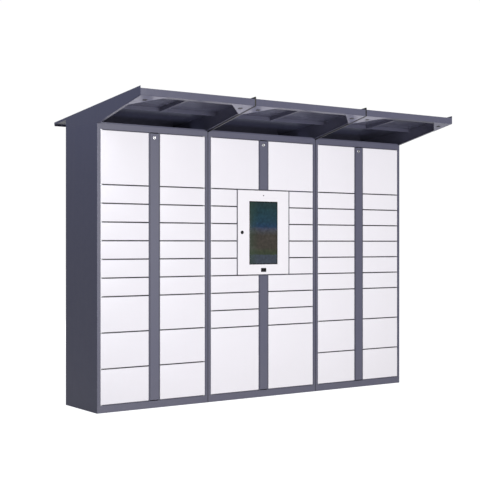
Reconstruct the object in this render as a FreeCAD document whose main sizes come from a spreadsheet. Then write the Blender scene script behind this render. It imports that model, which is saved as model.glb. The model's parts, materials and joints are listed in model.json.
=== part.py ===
import FreeCAD, Part
import os
import re
import Sketcher

# Outdoor parcel locker: a master cabinet with a touch-screen console between two slave
# cabinets, each with two columns of hinged doors and a sloping sheet-metal rain canopy.
# Millimetres, +Z up, doors face -Y. The origin is on the floor, at the centre of the footprint.

DIMENSIONS = {
    # cabinets
    "cabinet_height": 2000, "cabinet_depth": 490, "slave_width": 912, "master_width": 1020,
    "sheet": 1.5, "base_sheet": 2, "frame_depth": 20, "rear_flange": 15,
    # face of the stiles: flush strip, then a lip that is set back beside the doors
    "stile_face": 18, "stile_edge": 25, "lip_recess": 2.5, "bend_radius": 2.5,
    # wiring duct between the two columns
    "duct_half": 45, "duct_lip": 10, "inner_sheet": 1.2,
    # levels of the compartments
    "bottom_level": 53, "top_level": 1960,
    "large_pitch": 380, "small_pitch": 129.5, "medium_pitch": 250, "extra_pitch": 491,
    "shelf_tall": 5, "shelf_recess": 12, "shelf_front_band": 14, "hinge_lug_wide": 16,
    # doors and covers: folded pans
    "door_gap": 2, "door_end_gap": 1.75, "door_deep": 18, "door_sheet": 1.5,
    "pivot_inset": 8, "pivot_setback": 5, "pin_radius": 2, "pin_running_gap": 0.05, "pin_long": 8,
    "striker_sheet": 2, "striker_deep": 38, "striker_tall": 30,
    "cover_gap": 0.5,
    # console
    "console_half": 240.5, "console_wall": 248, "console_lip": 5.5,
    "screen_wide": 268, "screen_tall": 482, "screen_bottom": 1012, "glass_thick": 3, "glass_step": 0.3,
    "glass_gap": 0.2, "display_wide": 290, "display_tall": 504, "display_deep": 40,
    "camera_level": 1539, "camera_radius": 4.5, "camera_body": 20,
    "scanner_level": 970, "scanner_wide": 45, "scanner_tall": 26, "scanner_body_wide": 60,
    "scanner_deep": 30, "eye_gap": 0.25,
    "console_lock_inset": 40, "console_lock_level": 1256, "console_bezel": 12, "console_reach": 45,
    # cam locks
    "cover_lock_drop": 34, "cover_bezel": 13.5, "cover_reach": 40, "bezel_thick": 2.5,
    "barrel_radius": 9.5, "barrel_long": 24, "cam_thick": 3, "cam_wide": 14,
    "key_slot_wide": 2, "key_slot_long": 9, "key_slot_deep": 2,
    # electronic door locks in the duct
    "lock_thick": 28, "lock_deep": 60, "lock_tall": 44, "lock_setback": 30,
    # equipment behind the console
    "computer_wide": 220, "computer_tall": 260, "computer_deep": 70, "computer_level": 1240,
    "supply_wide": 160, "supply_tall": 110, "supply_deep": 60, "supply_level": 1020,
    # power cable gland in the back of the master cabinet
    "gland_level": 120, "gland_bore": 10, "gland_radius": 16, "gland_collar": 21, "gland_long": 24,
    # floor anchor holes
    "anchor_side_inset": 80, "anchor_depth_inset": 60, "anchor_radius": 6,
    # canopies
    "canopy_reach": 600, "canopy_rear_reach": 195, "canopy_front_top": 2172, "canopy_fall": 0.0921,
    "plate_rise": 15, "fascia_tall": 46, "fascia_return": 30, "fascia_set": 2, "rear_lip": 12,
    "plate_rear_deep": 15, "plate_flange": 20, "gusset_leg": 200, "gusset_slot_long": 30,
    "gusset_slot_wide": 22, "gusset_slot_place": 75, "purlin_wide": 74, "purlin_thick": 2,
    "purlin_deep": 26, "purlin_lip": 12, "purlin_set": 42, "rafter_wide": 24, "rafter_deep": 27,
    "rafter_nose": 18, "upstand": 10,
}

doc = FreeCAD.newDocument("parcel_locker")
sheet = doc.addObject("Spreadsheet::Sheet", "Dims")
for row, (alias, size) in enumerate(DIMENSIONS.items(), start=1):
    sheet.set(f"A{row}", alias)
    sheet.set(f"B{row}", str(size))
    sheet.setAlias(f"B{row}", alias)
doc.recompute()

ALIAS = re.compile(r"\b(" + "|".join(sorted(DIMENSIONS, key=len, reverse=True)) + r")\b")
ORIGIN_POINT = (-1, 1)
nodes = []


def cells(text):
    """Turn a sum written with plain cell names into an expression on the spreadsheet."""
    return ALIAS.sub(r"Dims.\1", text)


def number(text):
    """Value of such a sum."""
    return float(sheet.evalExpression(cells(text)))


def bind(item, **sums):
    """Bind properties, such as Length="sheet", to the spreadsheet."""
    for name, text in sums.items():
        item.setExpression(name, cells(text))
    return item


def place(item, x="0", y="0", z="0"):
    """Bind the position of a sub-part."""
    item.setExpression("Placement.Base.x", cells(x))
    item.setExpression("Placement.Base.y", cells(y))
    item.setExpression("Placement.Base.z", cells(z))
    return item


def new_body(label):
    body = doc.addObject("PartDesign::Body", "body")
    body.Label = label
    return body


def new_sketch(body, plane, lift="0"):
    """Empty sketch on one of the body's own origin planes, lifted along the plane's normal."""
    sketch = body.newObject("Sketcher::SketchObject", "sketch")
    origin_plane = next(item for item in body.Origin.OriginFeatures if item.Role == plane)
    sketch.AttachmentSupport = (origin_plane, [""])
    sketch.MapMode = "FlatFace"
    sketch.setExpression("AttachmentOffset.Base.z", cells(lift))
    return sketch


def draw_polygon(sketch, points):
    """Closed outline whose corners are held by bound distances from the sketch's origin."""
    first = sketch.GeometryCount
    corners = [FreeCAD.Vector(number(u), number(v), 0) for u, v in points]
    for here, after in zip(corners, corners[1:] + corners[:1]):
        sketch.addGeometry(Part.LineSegment(here, after))
    count = len(points)
    for index in range(count):
        after = first + (index + 1) % count
        sketch.addConstraint(Sketcher.Constraint("Coincident", first + index, 2, after, 1))
    for index, (sums, corner) in enumerate(zip(points, corners)):
        for kind, text, value in (("DistanceX", sums[0], corner.x), ("DistanceY", sums[1], corner.y)):
            held = Sketcher.Constraint(kind, *ORIGIN_POINT, first + index, 1, value)
            sketch.setExpression(f"Constraints[{sketch.addConstraint(held)}]", cells(text))


def draw_circle(sketch, across, along, radius):
    """Circle held by bound centre distances and radius."""
    centre = FreeCAD.Vector(number(across), number(along), 0)
    curve = sketch.addGeometry(Part.Circle(centre, FreeCAD.Vector(0, 0, 1), number(radius)))
    held = (
        (Sketcher.Constraint("DistanceX", *ORIGIN_POINT, curve, 3, centre.x), across),
        (Sketcher.Constraint("DistanceY", *ORIGIN_POINT, curve, 3, centre.y), along),
        (Sketcher.Constraint("Radius", curve, number(radius)), radius),
    )
    for constraint, text in held:
        sketch.setExpression(f"Constraints[{sketch.addConstraint(constraint)}]", cells(text))


def rectangle(left, low, right, high):
    return [(left, low), (right, low), (right, high), (left, high)]


def pad(body, sketch, length, backwards=False):
    feature = body.newObject("PartDesign::Pad", "pad")
    feature.Profile = sketch
    feature.Reversed = backwards
    return bind(feature, Length=length)


def pocket(body, sketch, length, along_normal=True):
    """Cut along the sketch's normal, or against it."""
    feature = body.newObject("PartDesign::Pocket", "pocket")
    feature.Profile = sketch
    feature.Reversed = along_normal
    return bind(feature, Length=length)


def round_upright_edge(body, across, along, radius):
    """Round the upright edge of the body's last feature that stands at a place in plan."""
    doc.recompute()
    feature = body.Tip
    corner = (number(across), number(along))
    names = []
    for index, edge in enumerate(feature.Shape.Edges, start=1):
        ends = [(point.X, point.Y) for point in edge.Vertexes]
        if all(max(abs(x - corner[0]), abs(y - corner[1])) < 0.001 for x, y in ends):
            names.append(f"Edge{index}")
    bend = body.newObject("PartDesign::Fillet", "bend")
    bend.Base = (feature, names)
    return bind(bend, Radius=radius)


def prism(label, plane, points, length, lift="0"):
    """Folded or flat sheet: one outline, extruded."""
    body = new_body(label)
    sketch = new_sketch(body, plane, lift)
    draw_polygon(sketch, points)
    pad(body, sketch, length)
    return body


def panel(label, low, size):
    """Flat panel between a low corner and a size."""
    box = doc.addObject("Part::Box", "panel")
    box.Label = label
    bind(box, Length=size[0], Width=size[1], Height=size[2])
    return place(box, *low)


def rod(label, radius, length, x, y, z, direction=None):
    """Round bar along +Z, or along the given direction."""
    cylinder = doc.addObject("Part::Cylinder", "rod")
    cylinder.Label = label
    bind(cylinder, Radius=radius, Height=length)
    if direction:
        cylinder.Placement.Rotation = FreeCAD.Rotation(FreeCAD.Vector(0, 0, 1), direction)
    return place(cylinder, x, y, z)


def group(label, pieces):
    """Node of several separate solids."""
    compound = doc.addObject("Part::Compound", "group")
    compound.Label = label
    compound.Links = pieces
    nodes.append(compound)
    return compound


def single(item):
    nodes.append(item)
    return item


FRONT = "-cabinet_depth / 2"
BACK = "cabinet_depth / 2"
LIP_FRONT = "-cabinet_depth / 2 + lip_recess"
SHELF_FRONT = "-cabinet_depth / 2 + shelf_recess"
INNER_BACK = "cabinet_depth / 2 - 2 * sheet"
NEIGHBOUR = "(master_width + slave_width) / 2"
MODULES = {
    "left": (f"-{NEIGHBOUR}", "slave_width / 2"),
    "master": ("0", "master_width / 2"),
    "right": (NEIGHBOUR, "slave_width / 2"),
}
SIDES = {"left_column": "-1", "right_column": "1"}
CONSOLE_TOP = "top_level - large_pitch"
CONSOLE_BOTTOM = "top_level - large_pitch - 5 * small_pitch"

# Compartments of one column from the top down: kind, how many, pitch.
SLAVE_ROWS = [("large", 1, "large_pitch"), ("small", 6, "small_pitch"), ("medium", 3, "medium_pitch")]
MASTER_ROWS = [
    ("large", 1, "large_pitch"), ("narrow", 5, "small_pitch"),
    ("small", 3, "small_pitch"), ("extra_large", 1, "extra_pitch"),
]


def column_rows(module):
    """Kind, number within its kind, low level and pitch of every compartment of a column."""
    level = "top_level"
    for kind, count, pitch in MASTER_ROWS if module == "master" else SLAVE_ROWS:
        for index in range(count):
            level = f"{level} - {pitch}"
            yield kind, index + 1, level, pitch


# ---------------------------------------------------------------- carcasses

def base_plate(module, centre, half):
    body = new_body(f"{module}_base_plate")
    outline = new_sketch(body, "XY_Plane")
    draw_polygon(outline, rectangle(f"-{half}", FRONT, half, BACK))
    pad(body, outline, "base_sheet")
    holes = new_sketch(body, "XY_Plane")
    for across in ("-1", "1"):
        for along in ("-1", "1"):
            draw_circle(holes, f"{across} * ({half} - anchor_side_inset)",
                        f"{along} * (cabinet_depth / 2 - anchor_depth_inset)", "anchor_radius")
    pocket(body, holes, "base_sheet")
    return place(body, centre)


def side_wall(module, centre, half, side):
    """Outer wall that folds round the front as the stile, with a flange at the back."""
    profile = [
        ("0", FRONT), ("stile_face", FRONT), ("stile_face", LIP_FRONT), ("stile_edge", LIP_FRONT),
        ("stile_edge", f"{FRONT} + frame_depth"), ("stile_edge - sheet", f"{FRONT} + frame_depth"),
        ("stile_edge - sheet", f"{LIP_FRONT} + sheet"), ("stile_face - sheet", f"{LIP_FRONT} + sheet"),
        ("stile_face - sheet", f"{FRONT} + sheet"), ("sheet", f"{FRONT} + sheet"),
        ("sheet", f"{BACK} - sheet"), ("rear_flange", f"{BACK} - sheet"), ("rear_flange", BACK),
        ("0", BACK),
    ]
    points = [(f"{side} * ({half} - ({inward}))", along) for inward, along in profile]
    wall = prism(f"{module}_side_wall", "XY_Plane", points, "cabinet_height - base_sheet - sheet")
    round_upright_edge(wall, f"{side} * {half}", FRONT, "bend_radius")
    return place(wall, centre, z="base_sheet")


def back_panel(module, centre, half):
    low = "base_sheet"
    body = new_body(f"{module}_back_panel")
    outline = new_sketch(body, "XY_Plane")
    draw_polygon(outline, rectangle(f"-({half} - sheet)", INNER_BACK, f"{half} - sheet", f"{BACK} - sheet"))
    pad(body, outline, "cabinet_height - base_sheet - sheet")
    if module == "master":
        hole = new_sketch(body, "XZ_Plane")
        draw_circle(hole, "0", f"gland_level - {low}", "gland_radius")
        pocket(body, hole, "cabinet_depth", along_normal=False)
    return place(body, centre, z=low)


def frame_rail(module, centre, half, low, high):
    """Channel across the front: a flush face plate with two flanges behind it."""
    body = new_body(f"{module}_rail")
    face = new_sketch(body, "YZ_Plane", f"-({half} - stile_face)")
    draw_polygon(face, rectangle(FRONT, low, f"{FRONT} + sheet", high))
    pad(body, face, f"2 * ({half} - stile_face)")
    back_edge = f"{FRONT} + frame_depth"
    channel = [
        (FRONT, low), (back_edge, low), (back_edge, f"{low} + sheet"), (f"{FRONT} + sheet", f"{low} + sheet"),
        (f"{FRONT} + sheet", f"{high} - sheet"), (back_edge, f"{high} - sheet"), (back_edge, high),
        (FRONT, high),
    ]
    flanges = new_sketch(body, "YZ_Plane", f"-({half} - stile_edge)")
    draw_polygon(flanges, channel)
    pad(body, flanges, f"2 * ({half} - stile_edge)")
    return place(body, centre)


def shelf(module, centre, half, side, inner, level):
    """Tray-shaped shelf, notched round the stile, with a closed box fold along its front."""
    body = new_body(f"{module}_shelf")
    wall = f"{side} * ({half} - sheet)"
    jamb = f"{side} * ({half} - stile_edge)"
    start = f"{side} * {inner}"
    outline = new_sketch(body, "XY_Plane")
    draw_polygon(outline, [
        (start, SHELF_FRONT), (jamb, SHELF_FRONT), (jamb, f"{FRONT} + frame_depth"),
        (wall, f"{FRONT} + frame_depth"), (wall, INNER_BACK), (start, INNER_BACK),
    ])
    pad(body, outline, "shelf_tall")
    hollow = new_sketch(body, "XY_Plane")
    draw_polygon(hollow, rectangle(
        f"{start} + {side} * inner_sheet", f"{SHELF_FRONT} + shelf_front_band",
        f"{wall} - {side} * inner_sheet", f"{INNER_BACK} - inner_sheet"))
    pocket(body, hollow, "shelf_tall - inner_sheet")
    return place(body, centre, z=f"{level} - shelf_tall / 2")


def bridge_shelf(level):
    """Short shelf that closes the duct above or below the console."""
    return panel("console_bridge", ("-duct_half", SHELF_FRONT, f"{level} - shelf_tall / 2"),
                 ("2 * duct_half", f"{INNER_BACK} - ({SHELF_FRONT})", "shelf_tall"))


def hinge_lug(low_x, level):
    """Lug on the front edge of a shelf that carries the pins of the doors above and below."""
    return panel("hinge_lug", (low_x, LIP_FRONT, f"{level} - shelf_tall / 2"),
                 ("hinge_lug_wide", "shelf_recess - lip_recess", "shelf_tall"))


def partition(module, centre, side, outer, lip, low, high):
    """Upright wall beside the doors' free edges, with a front lip turned inwards."""
    profile = [
        (outer, LIP_FRONT), (f"{outer} - {lip}", LIP_FRONT),
        (f"{outer} - {lip}", f"{LIP_FRONT} + inner_sheet"),
        (f"{outer} - inner_sheet", f"{LIP_FRONT} + inner_sheet"),
        (f"{outer} - inner_sheet", INNER_BACK), (outer, INNER_BACK),
    ]
    points = [(f"{side} * ({across})", along) for across, along in profile]
    wall = prism(f"{module}_partition", "XY_Plane", points, f"({high}) - ({low})")
    return place(wall, centre, z=low)


def duct_spans(module):
    """Low and high level of each stretch of the duct."""
    bottom = "bottom_level - shelf_tall / 2"
    top = "top_level + shelf_tall / 2"
    if module != "master":
        return [(bottom, top)]
    return [(bottom, f"{CONSOLE_BOTTOM} - shelf_tall / 2"), (f"{CONSOLE_TOP} + shelf_tall / 2", top)]


def build_carcasses():
    plates, walls, backs, tops, rails, shelves, partitions = ([] for _ in range(7))
    for module, (centre, half) in MODULES.items():
        plates.append(base_plate(module, centre, half))
        backs.append(back_panel(module, centre, half))
        tops.append(panel(f"{module}_top", (f"{centre} - {half}", FRONT, "cabinet_height - sheet"),
                          (f"2 * {half}", "cabinet_depth", "sheet")))
        rails.append(frame_rail(module, centre, half, "base_sheet", "(bottom_level - shelf_tall / 2)"))
        rails.append(frame_rail(module, centre, half, "(top_level + shelf_tall / 2)",
                                "(cabinet_height - sheet)"))
        for side in SIDES.values():
            walls.append(side_wall(module, centre, half, side))
            shelves.append(shelf(module, centre, half, side, "duct_half", "top_level"))
            for kind, index, level, _ in column_rows(module):
                beside_console = kind == "narrow" and index < 5
                inner = "console_wall" if beside_console else "duct_half"
                shelves.append(shelf(module, centre, half, side, inner, level))
            for low, high in duct_spans(module):
                partitions.append(partition(module, centre, side, "duct_half", "duct_lip", low, high))
    for side in SIDES.values():
        partitions.append(partition("console", "0", side, "console_wall", "console_lip",
                                    f"{CONSOLE_BOTTOM} + shelf_tall / 2", f"{CONSOLE_TOP} - shelf_tall / 2"))
    shelves += [bridge_shelf(CONSOLE_BOTTOM), bridge_shelf(CONSOLE_TOP)]
    for label, pieces in (
        ("base_plates", plates), ("side_walls", walls), ("back_panels", backs), ("top_panels", tops),
        ("frame_rails", rails), ("compartment_shelves", shelves), ("partition_walls", partitions),
    ):
        group(label, pieces)


# ---------------------------------------------------------------- doors

def pan(label, wide, deep, tall, side):
    """Folded pan, open at the back, from its hinge edge at the local origin."""
    body = new_body(label)
    outline = new_sketch(body, "XY_Plane")
    draw_polygon(outline, rectangle("0", "0", f"{side} * ({wide})", deep))
    pad(body, outline, tall)
    inside = new_sketch(body, "XY_Plane", "door_sheet")
    draw_polygon(inside, rectangle(f"{side} * door_sheet", "door_sheet",
                                   f"{side} * ({wide} - door_sheet)", deep))
    pocket(body, inside, f"{tall} - 2 * door_sheet")
    return body


def pivot_holes(body, side, tall):
    """Round holes in the top and bottom folds for the hinge pins."""
    hole = new_sketch(body, "XY_Plane")
    draw_circle(hole, f"{side} * pivot_inset", "pivot_setback", "pin_radius + pin_running_gap")
    pocket(body, hole, tall)


def compartment_door(label, wide, tall, side):
    """Door pan with pivot holes and a striker tab behind its free edge."""
    body = pan(label, wide, "door_deep", tall, side)
    pivot_holes(body, side, tall)
    striker = new_sketch(body, "XY_Plane", f"({tall} - striker_tall) / 2")
    edge = f"{wide} - door_sheet"
    draw_polygon(striker, rectangle(f"{side} * ({edge} - striker_sheet)", "door_sheet / 2",
                                    f"{side} * ({edge})", "striker_deep"))
    pad(body, striker, "striker_tall")
    return body


def hinge_pins(x, low, tall):
    """Lower and upper pin of one door, standing on the shelf below and hanging from the one above."""
    y = f"{FRONT} + pivot_setback"
    lower = rod("hinge_pin", "pin_radius", "pin_long", x, y, f"{low} - door_end_gap")
    upper = rod("hinge_pin", "pin_radius", "pin_long", x, y, f"{low} + {tall} + door_end_gap - pin_long")
    return [lower, upper]


def build_doors():
    hinges = []
    locks = []
    for module, (centre, half) in MODULES.items():
        for column, side in SIDES.items():
            gangs = {}
            # The hinge edge is beside the stile and the door reaches towards the module's centre.
            inward = "1" if side == "-1" else "-1"
            edge = f"{centre} + {side} * ({half} - stile_edge - door_gap)"
            pivot = f"{edge} + {inward} * pivot_inset"
            jamb = f"{centre} + {side} * ({half} - stile_edge)"
            lug = jamb if side == "-1" else f"{jamb} - hinge_lug_wide"
            hinges.append(hinge_lug(lug, "top_level"))
            for kind, index, level, pitch in column_rows(module):
                inner = "console_wall" if kind == "narrow" else "duct_half"
                wide = f"{half} - stile_edge - {inner} - 2 * door_gap"
                tall = f"({pitch} - shelf_tall - 2 * door_end_gap)"
                low = f"{level} + shelf_tall / 2 + door_end_gap"
                door = compartment_door(f"{module}_{column}_{kind}_door_{index}", wide, tall, inward)
                place(door, edge, FRONT, low)
                hinges += [*hinge_pins(pivot, low, tall), hinge_lug(lug, level)]
                locks.append(door_lock(centre, side, inner, f"{level} + {pitch} / 2"))
                gangs.setdefault(kind, []).append(door)
            for kind, doors in gangs.items():
                if kind == "narrow" or (kind == "small" and module != "master"):
                    group(f"{module}_{column}_{kind}_doors", doors)
                else:
                    for door in doors:
                        single(door)
    hinges += hinge_pins("console_half - pivot_inset", f"{CONSOLE_BOTTOM} + shelf_tall / 2 + door_end_gap",
                         "(5 * small_pitch - shelf_tall - 2 * door_end_gap)")
    for level in (CONSOLE_BOTTOM, CONSOLE_TOP):
        hinges.append(hinge_lug("console_half - pivot_inset - hinge_lug_wide / 2", level))
    group("door_hinges", hinges)
    group("door_locks", locks)


def door_lock(centre, side, inner, level):
    """Electronic lock body inside the duct, against the partition beside a door's striker."""
    face = f"{side} * ({inner} - inner_sheet)"
    low = f"{centre} + {face} - lock_thick / 2 - {side} * lock_thick / 2"
    return panel("door_lock", (low, f"{FRONT} + lock_setback", f"{level} - lock_tall / 2"),
                 ("lock_thick", "lock_deep", "lock_tall"))


# ---------------------------------------------------------------- service covers and cam locks

def cam_lock(label, bezel, reach, x, z):
    """Round cam lock on a front panel; its cam lies to the side or down while it is unlocked."""
    forward = FreeCAD.Vector(0, 1, 0)
    head = rod(f"{label}_bezel", bezel, "bezel_thick", x, f"{FRONT} - bezel_thick", z, forward)
    barrel = rod(f"{label}_barrel", "barrel_radius", "barrel_long", x, FRONT, z, forward)
    cam_low = (f"{x} - cam_wide / 2", f"{FRONT} + barrel_long - cam_thick", f"{z} - {reach}")
    cam = panel(f"{label}_cam", cam_low, ("cam_wide", "cam_thick", reach))
    key_slot = panel(f"{label}_key_slot", (f"{x} - key_slot_wide / 2", f"{FRONT} - bezel_thick",
                                           f"{z} - key_slot_long / 2"),
                     ("key_slot_wide", "key_slot_deep", "key_slot_long"))
    solid = doc.addObject("Part::MultiFuse", "lock_solid")
    solid.Shapes = [head, barrel, cam]
    lock = doc.addObject("Part::Cut", "lock")
    lock.Base = solid
    lock.Tool = key_slot
    lock.Label = label
    return single(lock)


def service_cover(label, centre, low, high, lock_label=None):
    """Full-width duct cover; it hooks in at its foot and leans out at the top."""
    tall = f"({high} - ({low}) - shelf_tall - 2 * door_end_gap)"
    foot = f"{low} + shelf_tall / 2 + door_end_gap"
    half = "(duct_half - duct_lip - cover_gap)"
    cover = pan(label, f"2 * {half}", "door_deep", tall, "1")
    if lock_label:
        hole = new_sketch(cover, "XZ_Plane")
        draw_circle(hole, half, f"{high} - cover_lock_drop - ({foot})", "barrel_radius + pin_running_gap")
        pocket(cover, hole, "door_deep", along_normal=False)
        cam_lock(lock_label, "cover_bezel", "cover_reach", centre, f"{high} - cover_lock_drop")
    return single(place(cover, f"{centre} - {half}", FRONT, foot))


def build_covers():
    for module in ("left", "right"):
        centre = MODULES[module][0]
        service_cover(f"{module}_cover", centre, "bottom_level", "top_level", f"{module}_cover_lock")
    service_cover("master_upper_cover", "0", CONSOLE_TOP, "top_level", "master_cover_lock")
    service_cover("master_lower_cover", "0", "bottom_level", CONSOLE_BOTTOM)


# ---------------------------------------------------------------- console

def console_door():
    """Console panel hinged at its right edge, with openings for screen, camera, scanner and lock."""
    foot = f"({CONSOLE_BOTTOM} + shelf_tall / 2 + door_end_gap)"
    tall = "(5 * small_pitch - shelf_tall - 2 * door_end_gap)"
    body = pan("console_door", "2 * console_half", "door_deep", tall, "-1")
    pivot_holes(body, "-1", tall)
    openings = new_sketch(body, "XZ_Plane")
    for wide, low, high in (
        ("screen_wide", "screen_bottom", "screen_bottom + screen_tall"),
        ("scanner_wide", "scanner_level - scanner_tall / 2", "scanner_level + scanner_tall / 2"),
    ):
        draw_polygon(openings, rectangle(f"-console_half - {wide} / 2", f"{low} - {foot}",
                                         f"-console_half + {wide} / 2", f"{high} - {foot}"))
    draw_circle(openings, "-console_half", f"camera_level - {foot}", "camera_radius + eye_gap")
    draw_circle(openings, "-(2 * console_half - console_lock_inset)", f"console_lock_level - {foot}",
                "barrel_radius + pin_running_gap")
    pocket(body, openings, "door_deep", along_normal=False)
    return single(place(body, "console_half", FRONT, foot))


def touch_display():
    """Display case behind the panel, recessed for its cover glass."""
    middle = "(screen_bottom + screen_tall / 2)"
    body = new_body("touch_display")
    case = new_sketch(body, "XZ_Plane")
    draw_polygon(case, rectangle("-display_wide / 2", f"{middle} - display_tall / 2",
                                 "display_wide / 2", f"{middle} + display_tall / 2"))
    pad(body, case, "display_deep", backwards=True)
    recess = new_sketch(body, "XZ_Plane")
    draw_polygon(recess, rectangle("-screen_wide / 2", "screen_bottom",
                                   "screen_wide / 2", "screen_bottom + screen_tall"))
    pocket(body, recess, "glass_thick + glass_step - door_sheet", along_normal=False)
    return single(place(body, "0", f"{FRONT} + door_sheet", "0"))


def display_glass():
    return single(panel("display_glass", ("-screen_wide / 2 + glass_gap", f"{FRONT} + glass_step",
                                          "screen_bottom + glass_gap"),
                        ("screen_wide - 2 * glass_gap", "glass_thick", "screen_tall - 2 * glass_gap")))


def camera():
    """Small round lens in front of a square camera body."""
    lens = rod("camera_lens", "camera_radius", "door_sheet", "0", FRONT, "camera_level",
               FreeCAD.Vector(0, 1, 0))
    block = panel("camera_block", ("-camera_body / 2", f"{FRONT} + door_sheet",
                                   "camera_level - camera_body / 2"),
                  ("camera_body", "camera_body", "camera_body"))
    eye = doc.addObject("Part::Fuse", "eye")
    eye.Base = lens
    eye.Tool = block
    eye.Label = "camera"
    return single(eye)


def scanner():
    """Code scanner: a window in the panel and its body behind."""
    window = panel("scanner_window", ("-scanner_wide / 2 + eye_gap", FRONT,
                                      "scanner_level - scanner_tall / 2 + eye_gap"),
                   ("scanner_wide - 2 * eye_gap", "door_sheet", "scanner_tall - 2 * eye_gap"))
    block = panel("scanner_block", ("-scanner_body_wide / 2", f"{FRONT} + door_sheet",
                                    "scanner_level - scanner_tall / 2"),
                  ("scanner_body_wide", "scanner_deep", "scanner_tall"))
    reader = doc.addObject("Part::Fuse", "reader")
    reader.Base = window
    reader.Tool = block
    reader.Label = "scanner"
    return single(reader)


def control_computer():
    """Control computer and power supply on the back panel behind the console."""
    pieces = []
    for name in ("computer", "supply"):
        pieces.append(panel(name, (f"-{name}_wide / 2", f"{INNER_BACK} - {name}_deep", f"{name}_level"),
                            (f"{name}_wide", f"{name}_deep", f"{name}_tall")))
    return group("control_computer", pieces)


def cable_gland():
    """Gland for the power cable: a threaded body through the back panel with an outer collar."""
    outward = FreeCAD.Vector(0, 1, 0)
    start = f"{INNER_BACK} - gland_long / 3"
    sleeve = rod("gland_sleeve", "gland_radius", "gland_long", "0", start, "gland_level", outward)
    collar = rod("gland_collar", "gland_collar", "gland_long / 3", "0", f"{BACK} - sheet", "gland_level",
                 outward)
    bore = rod("gland_bore", "gland_bore", "gland_long", "0", start, "gland_level", outward)
    outer = doc.addObject("Part::Fuse", "gland_outer")
    outer.Base = sleeve
    outer.Tool = collar
    gland = doc.addObject("Part::Cut", "gland")
    gland.Base = outer
    gland.Tool = bore
    gland.Label = "cable_gland"
    return single(gland)


def build_console():
    console_door()
    cam_lock("console_lock", "console_bezel", "console_reach", "-(console_half - console_lock_inset)",
             "console_lock_level")
    touch_display()
    display_glass()
    camera()
    scanner()
    control_computer()
    cable_gland()


# ---------------------------------------------------------------- canopies

CANOPY_FRONT = "(-cabinet_depth / 2 - canopy_reach)"
CANOPY_REAR = "(cabinet_depth / 2 + canopy_rear_reach)"
FASCIA_FOOT = "(canopy_front_top - fascia_tall)"
FOOT_SLOPE = f"(({FASCIA_FOOT} - cabinet_height) / canopy_reach)"
OUTER_PLATES = (("left", "-1"), ("right", "1"))


def roof_level(along):
    """Height of the roof's upper face at a place along Y."""
    return f"(canopy_front_top - canopy_fall * ({along} - {CANOPY_FRONT}))"


def canopy_roof(module, centre, half):
    """Roof sheet folded down as the fascia and its return in front, and as a short lip at the rear."""
    front = f"({CANOPY_FRONT} + fascia_set)"
    return_foot = f"({FASCIA_FOOT} - {FOOT_SLOPE} * fascia_return)"
    profile = [
        (front, "canopy_front_top"), (front, FASCIA_FOOT), (f"{front} + fascia_return", return_foot),
        (f"{front} + fascia_return", f"{return_foot} + sheet"), (f"{front} + sheet", f"{FASCIA_FOOT} + sheet"),
        (f"{front} + sheet", f"{roof_level(front)} - sheet"),
        (f"{CANOPY_REAR} - sheet", f"{roof_level(CANOPY_REAR)} - sheet"),
        (f"{CANOPY_REAR} - sheet", f"{roof_level(CANOPY_REAR)} - rear_lip"),
        (CANOPY_REAR, f"{roof_level(CANOPY_REAR)} - rear_lip"), (CANOPY_REAR, roof_level(CANOPY_REAR)),
    ]
    inner = f"({half} - sheet)"
    return place(prism(f"{module}_roof", "YZ_Plane", profile, f"2 * {inner}", f"-{inner}"), centre)


def canopy_back_wall(module, centre, half):
    """Upright sheet on the rear edge of the cabinet, up to the roof."""
    inner = f"({half} - sheet)"
    profile = [
        (f"{BACK} - sheet", "cabinet_height"), (BACK, "cabinet_height"),
        (BACK, f"{roof_level(BACK)} - sheet"),
        (f"{BACK} - sheet", f"{roof_level(f'({BACK} - sheet)')} - sheet"),
    ]
    return place(prism(f"{module}_back_wall", "YZ_Plane", profile, f"2 * {inner}", f"-{inner}"), centre)


def canopy_side_plate(module, centre, half, side):
    """Side plate standing proud of the roof, with an inward flange along its sloping foot.

    Plates that meet a neighbour are a little shorter in front and on top, where the seal lies.
    """
    short = "0" if (module, side) in OUTER_PLATES else "fascia_set"
    front = f"({CANOPY_FRONT} + {short})"
    rear_foot = f"{roof_level(CANOPY_REAR)} + plate_rise - plate_rear_deep - sheet"
    back_foot = f"{roof_level(BACK)} + plate_rise - plate_rear_deep - sheet"
    outline = [
        (front, f"canopy_front_top + plate_rise - {short}"), (front, FASCIA_FOOT),
        (FRONT, "cabinet_height"), (BACK, "cabinet_height"), (BACK, back_foot), (CANOPY_REAR, rear_foot),
        (CANOPY_REAR, f"{roof_level(CANOPY_REAR)} + plate_rise - {short}"),
    ]
    body = new_body(f"{module}_side_plate")
    outer = half if side == "1" else f"-{half}"
    start = f"{outer} - sheet" if side == "1" else outer
    plate = new_sketch(body, "YZ_Plane", start)
    draw_polygon(plate, outline)
    pad(body, plate, "sheet")
    flange_front = f"({CANOPY_FRONT} + fascia_return + 2 * fascia_set)"
    front_foot = f"{FASCIA_FOOT} - {FOOT_SLOPE} * ({flange_front} - {CANOPY_FRONT})"
    flange_start = f"{outer} - plate_flange" if side == "1" else outer
    flange = new_sketch(body, "YZ_Plane", flange_start)
    draw_polygon(flange, [
        (flange_front, front_foot), (FRONT, "cabinet_height"), (FRONT, "cabinet_height + sheet"),
        (flange_front, f"{front_foot} + sheet"),
    ])
    pad(body, flange, "plate_flange")
    return place(body, centre)


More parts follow.
